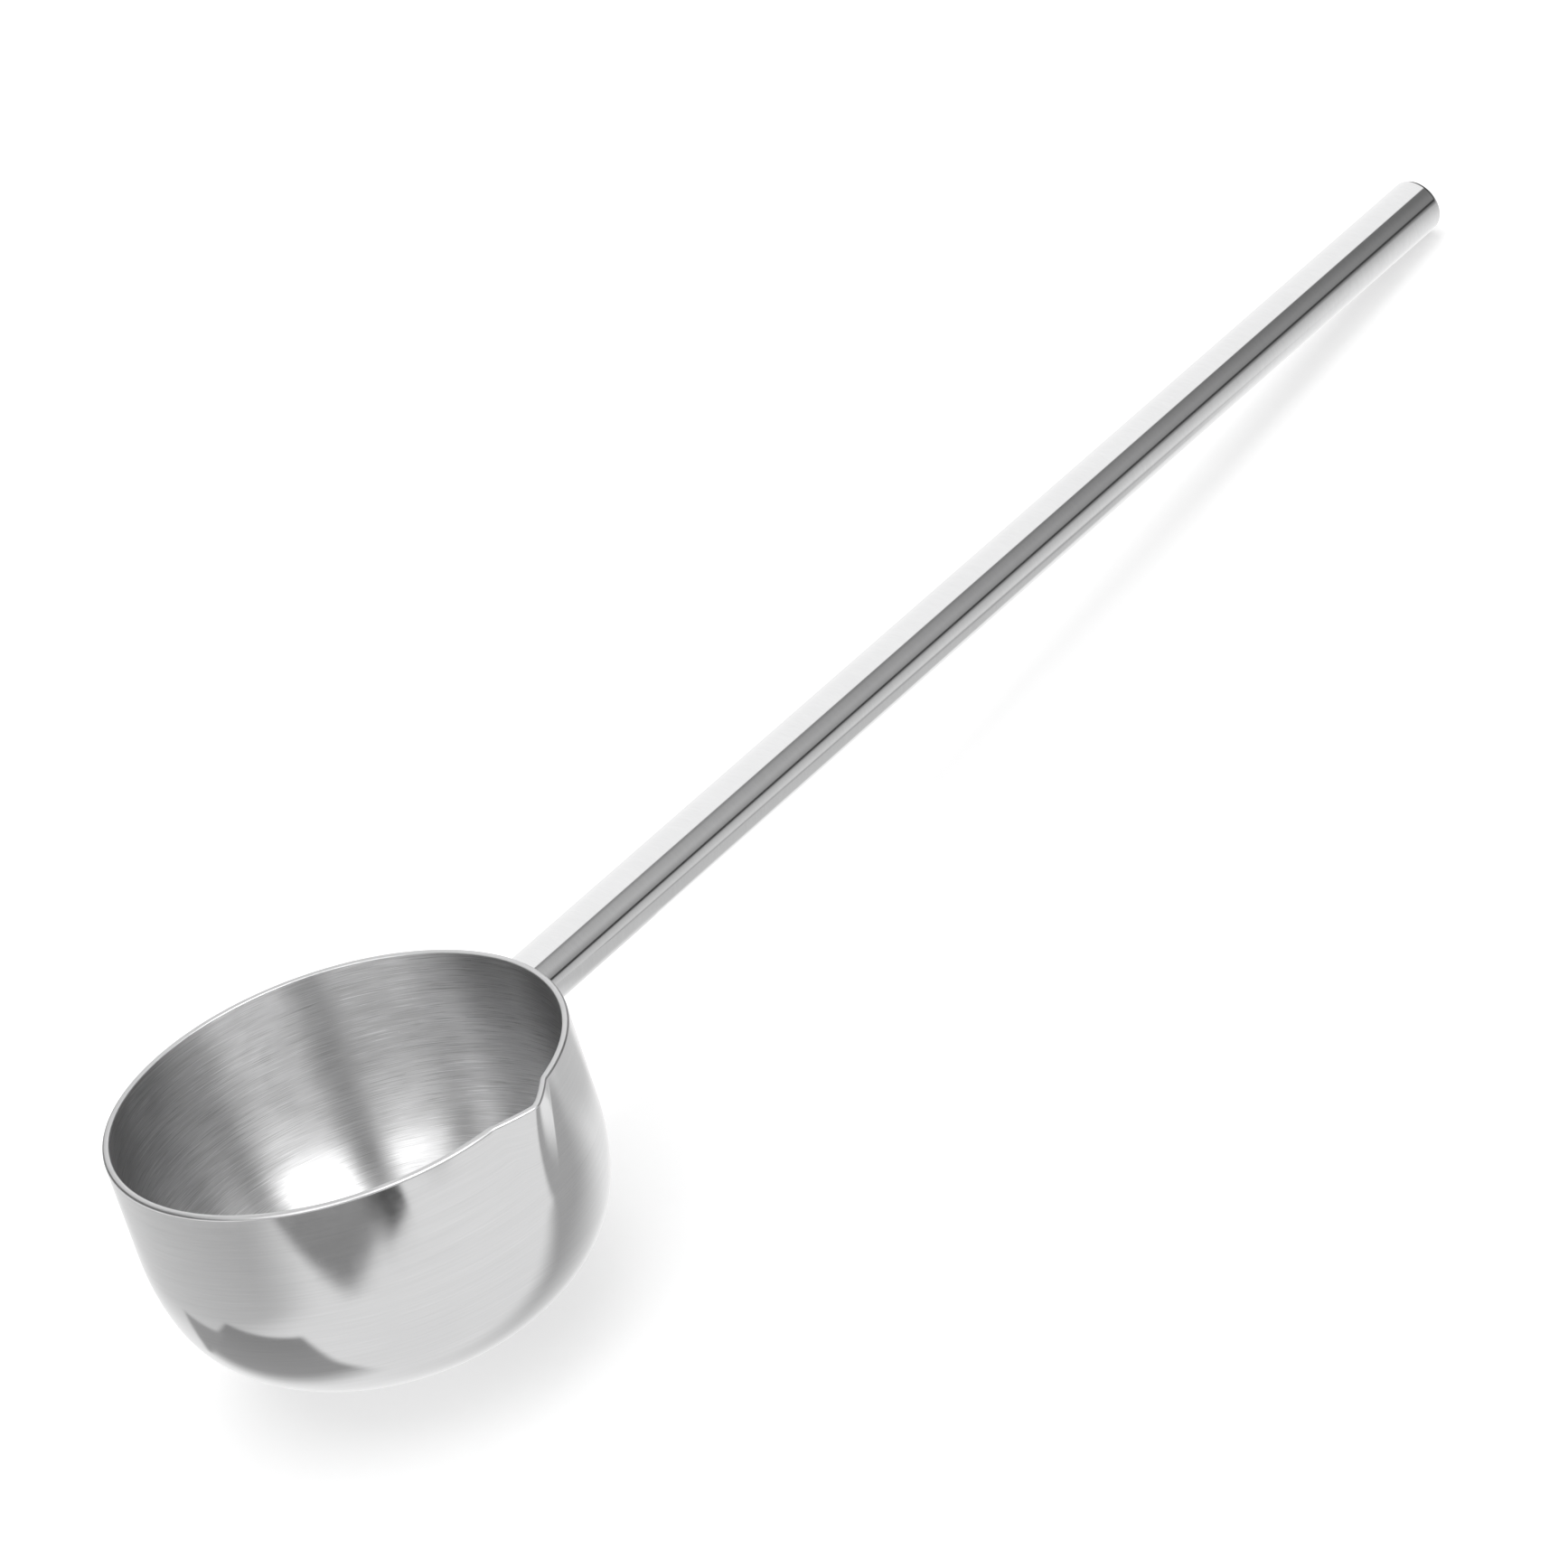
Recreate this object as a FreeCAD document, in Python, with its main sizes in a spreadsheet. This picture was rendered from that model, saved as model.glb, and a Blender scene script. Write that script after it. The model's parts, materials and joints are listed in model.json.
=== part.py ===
import FreeCAD, Part

import math
import os
from collections import namedtuple

import Sketcher
from FreeCAD import Placement, Rotation, Vector

# A stainless steel ladle with a pinched pouring spout and a tubular handle.
#
# Every piece is drawn in the bowl's own frame: the origin is the centre of the
# rim, +Z is up out of the bowl and +X runs towards the handle. One placement,
# the same for all the pieces, then lays the ladle on a table, as it rests when
# it is put down: on the edge of the bowl's foot and on the tip of the handle.

# The driving dimensions, in millimetres and degrees.
SIZES = (
    # The bowl, drawn from one disc of sheet
    ("rim_radius", 47.5, "outside radius of the rim"),
    ("sheet_wall", 1.5, "thickness of the sheet"),
    ("straight_depth", 21.5, "depth of the upright wall under the rim"),
    ("shoulder_radius", 49.5, "first bend under the upright wall"),
    ("shoulder_turn", 16.0, "angle that the first bend turns"),
    ("corner_radius", 23.5, "second, tighter bend"),
    ("corner_turn", 28.0, "angle that the second bend turns"),
    ("heel_radius", 33.0, "last bend, which ends at the flat foot"),
    ("rim_bevel", 0.45, "bevel that breaks the rim's two edges"),
    # The spout, pinched out of the upright wall
    ("spout_azimuth", -87.0, "direction of the spout, from the handle"),
    ("spout_reach", 4.0, "how far the tip stands out past the rim"),
    ("spout_tip_radius", 3.0, "outside radius of the tip"),
    ("spout_margin", 5.0, "angle kept between the spout's flank and its sector"),
    # The handle
    ("tube_radius", 6.35, "outside radius of the tube"),
    ("tube_wall", 1.0, "thickness of the tube's wall"),
    ("handle_reach", 382.5, "from the bowl's axis to the end of the handle"),
    ("neck_bead", 1.6, "leg of the weld bead round the tube's root"),
    ("neck_margin", 0.15, "upright wall that is left under the weld bead"),
    # The plug that closes the handle
    ("cap_thickness", 2.6, "thickness of the plug's head"),
    ("cap_edge_radius", 1.3, "rounding of the head's edge"),
    ("plug_length", 6.0, "how far the plug's spigot enters the tube"),
    ("plug_clearance", 0.05, "gap between the spigot and the tube"),
    ("weld_depth", 0.4, "how deep both welds reach into the tube's wall"),
)

FULL_TURN = 360.0

# Where the sections of the spout lie, as shares of the upright wall's depth
SPOUT_DEPTH_SHARES = (0.0, 0.35, 0.7, 1.0)
# At the spout's foot the section is a plain arc again, cut where its flank and
# its tip run out, at these shares of the angle that the flank has at the rim
FOOT_FLANK_SHARE = 0.14
FOOT_TIP_SHARE = 0.05
# Flatness of the weld bead: the radius of its hollow face over its leg
BEAD_HOLLOW_SHARE = 1.8


class Size:
    """A number, together with the expression of the sheet's cells that gives it."""

    def __init__(self, value, text):
        self.value = value
        self.text = text

    def __add__(self, other):
        other = as_size(other)
        return Size(self.value + other.value, "(%s + %s)" % (self.text, other.text))

    def __sub__(self, other):
        other = as_size(other)
        return Size(self.value - other.value, "(%s - %s)" % (self.text, other.text))

    def __mul__(self, other):
        other = as_size(other)
        return Size(self.value * other.value, "(%s * %s)" % (self.text, other.text))

    def __truediv__(self, other):
        other = as_size(other)
        return Size(self.value / other.value, "(%s / %s)" % (self.text, other.text))

    def __neg__(self):
        return Size(-self.value, "(0 - %s)" % self.text)


def as_size(number):
    """Gives a plain number the form of a Size."""
    return number if isinstance(number, Size) else Size(float(number), "%.9g" % number)


def sine(angle):
    return Size(math.sin(math.radians(angle.value)), "sin(%s)" % angle.text)


def cosine(angle):
    return Size(math.cos(math.radians(angle.value)), "cos(%s)" % angle.text)


def root_of_squares(a, b):
    return Size(math.hypot(a.value, b.value), "sqrt(%s ^ 2 + %s ^ 2)" % (a.text, b.text))


def angle_with_sine(ratio):
    return Size(math.degrees(math.asin(ratio.value)), "(asin(%s) / 1 deg)" % ratio.text)


def angle_with_cosine(ratio):
    return Size(math.degrees(math.acos(ratio.value)), "(acos(%s) / 1 deg)" % ratio.text)


def angle_with_tangent(ratio):
    return Size(math.degrees(math.atan(ratio.value)), "(atan(%s) / 1 deg)" % ratio.text)


# A corner of an outline that a straight edge, or an arc, leads to. An arc is
# less than half a circle.
Corner = namedtuple("Corner", "x y")
Bend = namedtuple("Bend", "x y radius clockwise")


def fill_sheet(document):
    """Writes the driving dimensions to the sheet and gives them back as Sizes."""
    sheet = document.addObject("Spreadsheet::Sheet", "sizes")
    sizes = {}
    for row, (name, value, meaning) in enumerate(SIZES, start=1):
        sheet.set("A%d" % row, name)
        sheet.set("B%d" % row, str(value))
        sheet.setAlias("B%d" % row, name)
        sheet.set("C%d" % row, meaning)
        sizes[name] = Size(value, "sizes.%s" % name)
    document.recompute()
    return sizes


def add_body(document, name, resting_place):
    """Adds a body that lies where the resting place puts it."""
    body = document.addObject("PartDesign::Body", name)
    body.Label = name
    shift_x, shift_y, shift_z, tilt = resting_place
    base = Vector(shift_x.value, shift_y.value, shift_z.value)
    body.Placement = Placement(base, Rotation(Vector(0, 1, 0), tilt.value))
    body.setExpression("Placement.Base.x", shift_x.text)
    body.setExpression("Placement.Base.y", shift_y.text)
    body.setExpression("Placement.Base.z", shift_z.text)
    body.setExpression("Placement.Rotation.Angle", tilt.text)
    return body


def origin_plane(body, role):
    """Finds one of the body's origin planes."""
    return next(feature for feature in body.Origin.OriginFeatures if feature.Role == role)


def add_sketch(body, name, role):
    """Adds an empty sketch on one of the body's origin planes."""
    sketch = body.newObject("Sketcher::SketchObject", name)
    sketch.AttachmentSupport = [(origin_plane(body, role), "")]
    sketch.MapMode = "FlatFace"
    return sketch


def arc_between(start, end, radius, clockwise):
    """Makes the smaller arc between two points, which a sketch draws anticlockwise."""
    chord = end - start
    half = chord.Length / 2
    side = Vector(chord.y, -chord.x, 0) if clockwise else Vector(-chord.y, chord.x, 0)
    side.normalize()
    centre = (start + end) / 2 + side * math.sqrt(max(radius * radius - half * half, 0))
    first, last = (end, start) if clockwise else (start, end)
    first_angle = math.atan2(first.y - centre.y, first.x - centre.x)
    last_angle = math.atan2(last.y - centre.y, last.x - centre.x)
    circle = Part.Circle(centre, Vector(0, 0, 1), radius)
    return Part.ArcOfCircle(circle, first_angle, last_angle)


def bind(sketch, constraint, name, size):
    """Adds a constraint that follows a size."""
    index = sketch.addConstraint(constraint)
    sketch.renameConstraint(index, name)
    sketch.setExpression("Constraints.%s" % name, size.text)


def draw_outline(sketch, outline):
    """Draws a closed outline and ties all its corners and radii to the sheet."""
    at_start, at_end = 1, 2
    origin_point = (-1, 1)
    across_axis, up_axis = -1, -2
    ends = []
    for index, corner in enumerate(outline):
        before = outline[index - 1]
        start = Vector(before.x.value, before.y.value, 0)
        end = Vector(corner.x.value, corner.y.value, 0)
        if isinstance(corner, Bend):
            edge = sketch.addGeometry(arc_between(start, end, corner.radius.value, corner.clockwise))
            round_edge = Sketcher.Constraint("Radius", edge, corner.radius.value)
            bind(sketch, round_edge, "radius_%d" % index, corner.radius)
            ends.append((edge, at_end, at_start) if corner.clockwise else (edge, at_start, at_end))
        else:
            edge = sketch.addGeometry(Part.LineSegment(start, end))
            ends.append((edge, at_start, at_end))
    for index, corner in enumerate(outline):
        edge, _, far_end = ends[index]
        next_edge, near_end, _ = ends[(index + 1) % len(ends)]
        sketch.addConstraint(Sketcher.Constraint("Coincident", edge, far_end, next_edge, near_end))
        for kind, size, name, axis in (
            ("DistanceX", corner.x, "x_%d" % index, up_axis),
            ("DistanceY", corner.y, "y_%d" % index, across_axis),
        ):
            if size.text == "0":
                sketch.addConstraint(Sketcher.Constraint("PointOnObject", edge, far_end, axis))
            else:
                distance = Sketcher.Constraint(kind, *origin_point, edge, far_end, size.value)
                bind(sketch, distance, name, size)


def add_turned(body, kind, sketch, axis, angle=None):
    """Turns a sketch about one of its own axes, adding to the body or cutting it."""
    feature = body.newObject("PartDesign::%s" % kind, "%s_turned" % sketch.Name)
    feature.Profile = sketch
    feature.ReferenceAxis = (sketch, [axis])
    feature.Angle = FULL_TURN if angle is None else angle.value
    if angle is not None:
        feature.setExpression("Angle", angle.text)
    body.Document.recompute()
    return feature


def bowl_corners(sizes, inset):
    """Follows the bowl's section from the end of its upright wall to its foot.

    The inset is measured inwards from the outside of the sheet. The bends keep
    their centres, so that the sheet is equally thick all the way round.
    """
    shoulder, corner, heel = (sizes[name] for name in ("shoulder_radius", "corner_radius", "heel_radius"))
    first_turn = sizes["shoulder_turn"]
    second_turn = first_turn + sizes["corner_turn"]
    shoulder_x = sizes["rim_radius"] - shoulder
    shoulder_y = -sizes["straight_depth"]
    corner_x = shoulder_x + (shoulder - corner) * cosine(first_turn)
    corner_y = shoulder_y - (shoulder - corner) * sine(first_turn)
    heel_x = corner_x + (corner - heel) * cosine(second_turn)
    heel_y = corner_y - (corner - heel) * sine(second_turn)
    return (
        Corner(sizes["rim_radius"] - inset, shoulder_y),
        Bend(
            shoulder_x + (shoulder - inset) * cosine(first_turn),
            shoulder_y - (shoulder - inset) * sine(first_turn),
            shoulder - inset,
            True,
        ),
        Bend(
            corner_x + (corner - inset) * cosine(second_turn),
            corner_y - (corner - inset) * sine(second_turn),
            corner - inset,
            True,
        ),
        Bend(heel_x, heel_y - (heel - inset), heel - inset, True),
    )


def reversed_path(corners):
    """Gives the same corners, walked the other way, with each bend turned round."""
    backwards = []
    for index in reversed(range(len(corners))):
        corner = corners[index]
        later = corners[index + 1] if index + 1 < len(corners) else None
        if isinstance(later, Bend):
            backwards.append(Bend(corner.x, corner.y, later.radius, not later.clockwise))
        else:
            backwards.append(Corner(corner.x, corner.y))
    return backwards


def spout_flank(sizes, depth_share):
    """Works out a section of the spout: its flank's angle and its tip's centre.

    The flanks leave the round wall along its tangents, as sheet does when it is
    pinched, and the tip draws in with the square of the depth that is left.
    """
    reach = sizes["spout_reach"] * (1 - depth_share) ** 2
    hub = sizes["rim_radius"] - sizes["spout_tip_radius"]
    return angle_with_cosine(hub / (hub + reach)), hub + reach


def spout_sector(sizes):
    """Gives half the angle of the wall's sector that holds the spout."""
    return spout_flank(sizes, 0)[0] + sizes["spout_margin"]


def spout_edge(sizes, depth_share, inset):
    """Follows one face of the wall through the spout, from one side to the other."""
    radius = sizes["rim_radius"] - inset
    side = spout_sector(sizes)
    if depth_share < 1:
        flank, tip_centre = spout_flank(sizes, depth_share)
        tip_radius = sizes["spout_tip_radius"] - inset
        tip_x = tip_centre + tip_radius * cosine(flank)
        tip_y = tip_radius * sine(flank)
        flank_end, tip_end = Corner(radius * cosine(flank), radius * sine(flank)), Corner(tip_x, tip_y)
        return (
            Corner(radius * cosine(side), -radius * sine(side)),
            Bend(flank_end.x, -flank_end.y, radius, False),
            Corner(tip_end.x, -tip_end.y),
            Bend(tip_end.x, tip_end.y, tip_radius, False),
            flank_end,
            Bend(radius * cosine(side), radius * sine(side), radius, False),
        )
    rim_flank = spout_flank(sizes, 0)[0]
    stops = [side, rim_flank * FOOT_FLANK_SHARE, rim_flank * FOOT_TIP_SHARE]
    places = [-stop for stop in stops] + stops[::-1]
    arcs = [Bend(radius * cosine(place), radius * sine(place), radius, False) for place in places]
    return (Corner(arcs[0].x, arcs[0].y), *arcs[1:])


def build_bowl(document, sizes, resting_place):
    """Draws the bowl, with the spout pinched in its wall, from one sheet."""
    body = add_body(document, "bowl", resting_place)
    wall = sizes["sheet_wall"]
    outside, inside = bowl_corners(sizes, as_size(0)), bowl_corners(sizes, wall)

    dish = add_sketch(body, "dish_section", "XZ_Plane")
    foot_outside, foot_inside = outside[-1].y, inside[-1].y
    draw_outline(
        dish,
        [
            *outside,
            Corner(as_size(0), foot_outside),
            Corner(as_size(0), foot_inside),
            *reversed_path(inside),
        ],
    )
    add_turned(body, "Revolution", dish, "V_Axis")

    # The upright wall is turned up to the two sides of the spout's sector
    upright = add_sketch(body, "upright_section", "XZ_Plane")
    wall_start = sizes["spout_azimuth"] + spout_sector(sizes)
    upright.AttachmentOffset = Placement(Vector(0, 0, 0), Rotation(Vector(0, 1, 0), wall_start.value))
    upright.setExpression("AttachmentOffset.Rotation.Angle", wall_start.text)
    rim, inner_rim, bevel = sizes["rim_radius"], sizes["rim_radius"] - wall, sizes["rim_bevel"]
    draw_outline(
        upright,
        [
            Corner(inner_rim, -sizes["straight_depth"]),
            Corner(rim, -sizes["straight_depth"]),
            Corner(rim, -bevel),
            Corner(rim - bevel, as_size(0)),
            Corner(inner_rim + bevel, as_size(0)),
            Corner(inner_rim, -bevel),
        ],
    )
    add_turned(body, "Revolution", upright, "V_Axis", as_size(FULL_TURN) - spout_sector(sizes) * 2)

    # The spout fills that sector, and a bevelled lip finishes it at the rim
    fade_depth = sizes["straight_depth"] - bevel
    add_spout_loft(
        body,
        "spout",
        sizes,
        [(bevel + fade_depth * share, share, as_size(0)) for share in SPOUT_DEPTH_SHARES],
    )
    lip = add_spout_loft(body, "spout_lip", sizes, [(bevel, 0, as_size(0)), (as_size(0), 0, bevel)])
    lip.Ruled = True
    document.recompute()
    return body


def add_spout_loft(body, name, sizes, levels):
    """Lofts the spout's sector of the wall through sections.

    Each level gives the depth under the rim, the share of the spout's length
    that lies above it, and how much its two faces draw together.
    """
    sections = []
    for number, (depth, depth_share, inset) in enumerate(levels):
        section = add_sketch(body, "%s_section_%d" % (name, number), "XY_Plane")
        turn = Rotation(Vector(0, 0, 1), sizes["spout_azimuth"].value)
        section.AttachmentOffset = Placement(Vector(0, 0, -depth.value), turn)
        section.setExpression("AttachmentOffset.Base.z", (-depth).text)
        section.setExpression("AttachmentOffset.Rotation.Angle", sizes["spout_azimuth"].text)
        outer_edge = spout_edge(sizes, depth_share, inset)
        inner_edge = spout_edge(sizes, depth_share, sizes["sheet_wall"] - inset)
        draw_outline(section, [*outer_edge, *reversed_path(inner_edge)])
        sections.append(section)
    body.Document.recompute()
    loft = body.newObject("PartDesign::AdditiveLoft", name)
    loft.Profile = sections[0]
    loft.Sections = sections[1:]
    body.Document.recompute()
    return loft


def handle_drop(sizes):
    """Gives the depth of the tube's axis under the rim, low on the upright wall."""
    return sizes["straight_depth"] - sizes["neck_margin"] - sizes["neck_bead"] - sizes["tube_radius"]


def add_handle_sketch(body, name, sizes):
    """Adds a sketch whose own X axis is the axis of the handle."""
    sketch = add_sketch(body, name, "XZ_Plane")
    drop = -handle_drop(sizes)
    sketch.AttachmentOffset = Placement(Vector(0, drop.value, 0), Rotation())
    sketch.setExpression("AttachmentOffset.Base.y", drop.text)
    return sketch


def fit_to_bowl(body, sizes):
    """Cuts away what would lie inside the bowl, so that the piece meets its wall."""
    whole = body.Shape.Volume
    bowl_form = add_sketch(body, "%s_fit_section" % body.Name, "XZ_Plane")
    outside = bowl_corners(sizes, as_size(0))
    draw_outline(
        bowl_form,
        [
            *outside,
            Corner(as_size(0), outside[-1].y),
            Corner(as_size(0), as_size(0)),
            Corner(sizes["rim_radius"], as_size(0)),
        ],
    )
    add_turned(body, "Groove", bowl_form, "V_Axis")
    if not body.Shape.Volume < whole:
        raise RuntimeError("%s was not cut to the bowl's wall" % body.Label)


def build_handle_tube(document, sizes, resting_place):
    """Turns the tube, with room for a weld round its root and round its far end."""
    body = add_body(document, "handle_tube", resting_place)
    section = add_handle_sketch(body, "tube_section", sizes)
    outside, weld = sizes["tube_radius"], sizes["weld_depth"]
    inside = outside - sizes["tube_wall"]
    near_weld_end = sizes["rim_radius"] + sizes["neck_bead"]
    far_end = sizes["handle_reach"] - sizes["cap_thickness"]
    draw_outline(
        section,
        [
            Corner(as_size(0), inside),
            Corner(far_end, inside),
            Corner(far_end, outside - weld),
            Corner(far_end - weld, outside),
            Corner(near_weld_end, outside),
            Corner(near_weld_end - weld, outside - weld),
            Corner(as_size(0), outside - weld),
        ],
    )
    add_turned(body, "Revolution", section, "H_Axis")
    fit_to_bowl(body, sizes)
    return body


def build_end_cap(document, sizes, resting_place):
    """Turns the plug that closes the tube: a head with a rounded edge and a spigot."""
    body = add_body(document, "end_cap", resting_place)
    section = add_handle_sketch(body, "cap_section", sizes)
    radius, edge, weld = sizes["tube_radius"], sizes["cap_edge_radius"], sizes["weld_depth"]
    spigot = radius - sizes["tube_wall"] - sizes["plug_clearance"]
    tip = sizes["handle_reach"]
    seat = tip - sizes["cap_thickness"]
    spigot_end = seat - sizes["plug_length"]
    draw_outline(
        section,
        [
            Corner(spigot_end, as_size(0)),
            Corner(tip, as_size(0)),
            Corner(tip, radius - edge),
            Bend(tip - edge, radius, edge, False),
            Corner(seat + weld, radius),
            Corner(seat, radius - weld),
            Corner(seat, spigot),
            Corner(spigot_end, spigot),
        ],
    )
    add_turned(body, "Revolution", section, "H_Axis")
    return body


def build_cap_weld(document, sizes, resting_place):
    """Turns the seam weld between tube and plug, ground flush with the tube."""
    body = add_body(document, "cap_weld", resting_place)
    section = add_handle_sketch(body, "seam_section", sizes)
    radius, weld = sizes["tube_radius"], sizes["weld_depth"]
    seat = sizes["handle_reach"] - sizes["cap_thickness"]
    draw_outline(
        section,
        [
            Corner(seat, radius - weld),
            Corner(seat + weld, radius),
            Corner(seat - weld, radius),
        ],
    )
    add_turned(body, "Revolution", section, "H_Axis")
    return body


def build_neck_weld(document, sizes, resting_place):
    """Turns the hollow-faced weld bead round the tube's root and fits it to the bowl."""
    body = add_body(document, "neck_weld", resting_place)
    section = add_handle_sketch(body, "bead_section", sizes)
    radius, leg, wall_face = sizes["tube_radius"], sizes["neck_bead"], sizes["rim_radius"]
    weld = sizes["weld_depth"]
    draw_outline(
        section,
        [
            Corner(wall_face - leg, radius - weld),
            Corner(wall_face + leg - weld, radius - weld),
            Corner(wall_face + leg, radius),
            Bend(wall_face, radius + leg, leg * BEAD_HOLLOW_SHARE, True),
            Corner(wall_face - leg, radius + leg),
        ],
    )
    add_turned(body, "Revolution", section, "H_Axis")
    fit_to_bowl(body, sizes)
    return body


def find_resting_place(sizes):
    """Works out how the finished ladle lies on a table.

    The ladle tips until the rounded edge of its foot and the rounded edge of
    the plug stand on the same level. The origin of the finished ladle is then
    in the middle of the space that it takes up, at the level of the table.
    Gives the shift along X, Y and Z, and the tilt about Y.
    """
    foot = bowl_corners(sizes, as_size(0))[-1]
    heel, edge = sizes["heel_radius"], sizes["cap_edge_radius"]
    drop, edge_offset = handle_drop(sizes), sizes["tube_radius"] - sizes["cap_edge_radius"]
    edge_centre = sizes["handle_reach"] - edge

    # Both roundings touch the table: span * sin(tilt) = rise * cos(tilt) + step
    span = edge_centre - foot.x
    rise = -foot.y - heel - drop - edge_offset
    step = heel - edge
    tilt = angle_with_tangent(rise / span) + angle_with_sine(step / root_of_squares(span, rise))
    level = foot.x * sine(tilt) - (foot.y + heel) * cosine(tilt) + heel

    shoulder = sizes["shoulder_radius"]
    back = (sizes["rim_radius"] - shoulder) * cosine(tilt) + sizes["straight_depth"] * sine(tilt) + shoulder
    front = edge_centre * cosine(tilt) - (drop - edge_offset) * sine(tilt) + edge
    tip_centre = spout_flank(sizes, 0)[1]
    spout_side = -tip_centre * sine(sizes["spout_azimuth"]) + sizes["spout_tip_radius"]
    return (back - front) / 2, (spout_side - sizes["rim_radius"]) / 2, level, tilt


def check_document(document, bodies):
    """Stops the build when a feature failed or a piece is not one good solid."""
    for item in document.Objects:
        if {"Invalid", "Error"} & set(item.State):
            raise RuntimeError("%s: %s" % (item.Name, ", ".join(item.State)))
    for body in bodies:
        shape = body.Shape
        if shape.isNull() or not shape.isValid() or len(shape.Solids) != 1:
            raise RuntimeError("%s is not one valid solid" % body.Label)


def main():
    """Builds the ladle's pieces and writes each to a STEP file of its own."""
    document = FreeCAD.newDocument("ladle")
    sizes = fill_sheet(document)
    resting_place = find_resting_place(sizes)
    builders = (build_bowl, build_handle_tube, build_end_cap, build_cap_weld, build_neck_weld)
    bodies = [build(document, sizes, resting_place) for build in builders]
    document.recompute()
    check_document(document, bodies)
    os.makedirs("parts", exist_ok=True)
    for body in bodies:
        body.Shape.exportStep("parts/%s.step" % body.Label)
        print("%s: %.1f mm3" % (body.Label, body.Shape.Volume))


main()
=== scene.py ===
"""A stainless steel ladle with a pinched pouring spout, dressed for its studio picture."""

import json
import logging
import math
from dataclasses import dataclass, field
from enum import Enum
from typing import Optional

import bmesh
import bpy
from mathutils import Matrix, Vector


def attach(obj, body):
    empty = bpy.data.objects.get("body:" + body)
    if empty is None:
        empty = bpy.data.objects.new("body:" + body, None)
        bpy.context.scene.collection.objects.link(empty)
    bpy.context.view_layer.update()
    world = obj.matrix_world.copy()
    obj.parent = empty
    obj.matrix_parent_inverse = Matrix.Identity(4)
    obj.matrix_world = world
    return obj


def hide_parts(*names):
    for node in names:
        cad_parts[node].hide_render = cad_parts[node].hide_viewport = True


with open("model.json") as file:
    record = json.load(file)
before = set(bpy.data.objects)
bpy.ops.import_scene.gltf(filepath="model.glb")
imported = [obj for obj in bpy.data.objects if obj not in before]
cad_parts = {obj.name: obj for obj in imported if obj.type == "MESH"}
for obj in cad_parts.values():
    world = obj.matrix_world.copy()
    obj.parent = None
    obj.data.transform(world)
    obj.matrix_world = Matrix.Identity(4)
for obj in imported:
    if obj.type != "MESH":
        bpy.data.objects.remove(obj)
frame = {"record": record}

LOG = logging.getLogger("ladle")
MM = 0.001
UP = (0.0, 0.0, 1.0)
ALONG = (1.0, 0.0, 0.0)
ASIDE = (0.0, 1.0, 0.0)
PICTURE_SIDE = 1735
LINES_FIELD = "polish_lines"
DIRECTION_FIELD = "polish_direction"
FIELD_RADIUS = 40.0 * MM
LEAN_DIRECTION = (0.6, 0.8, 0.0)
QUARTER_TURN = 0.25
SHARP_ANGLE = 35.0
JOIN_DISTANCE = 0.002 * MM
SLIVER_LENGTH = 0.0005 * MM
ALMOST_NOTHING = 1e-9


class Side(Enum):
    """The faces of a bent sheet that are finished in their own ways."""

    OUTSIDE = 0
    INSIDE = 1
    RIM = 2


class Axis(Enum):
    """The axis of the bowl's frame that a piece is turned about."""

    BOWL = UP
    HANDLE = ALONG


@dataclass(frozen=True)
class BowlFrame:
    """The bowl's own frame: origin at the rim's centre, +Z out of the bowl, +X to the handle."""

    matrix: Matrix

    @classmethod
    def from_record(cls, record: dict, bowl_depth: float) -> "BowlFrame":
        """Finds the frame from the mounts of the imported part.

        Args:
            record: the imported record.
            bowl_depth: depth of the foot under the rim, in metres.

        Returns:
            The bowl's frame in the row frame.
        """
        mounts = {mount["name"]: mount for mount in record["mounts"]}
        up = -Vector(mounts["foot"]["axis"]).normalized()
        along = Vector(mounts["handle"]["axis"]).normalized()
        across = up.cross(along).normalized()
        origin = Vector(mounts["foot"]["pos_m"]) + up * bowl_depth
        turn = Matrix((across.cross(up), across, up)).transposed()
        return cls(Matrix.Translation(origin) @ turn.to_4x4())

    def place(self, point: Vector) -> Vector:
        """Gives a point of the bowl's frame in the row frame."""
        return self.matrix @ point

    def aim(self, direction: Vector) -> Vector:
        """Gives a direction of the bowl's frame in the row frame."""
        return self.matrix.to_3x3() @ direction


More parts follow.
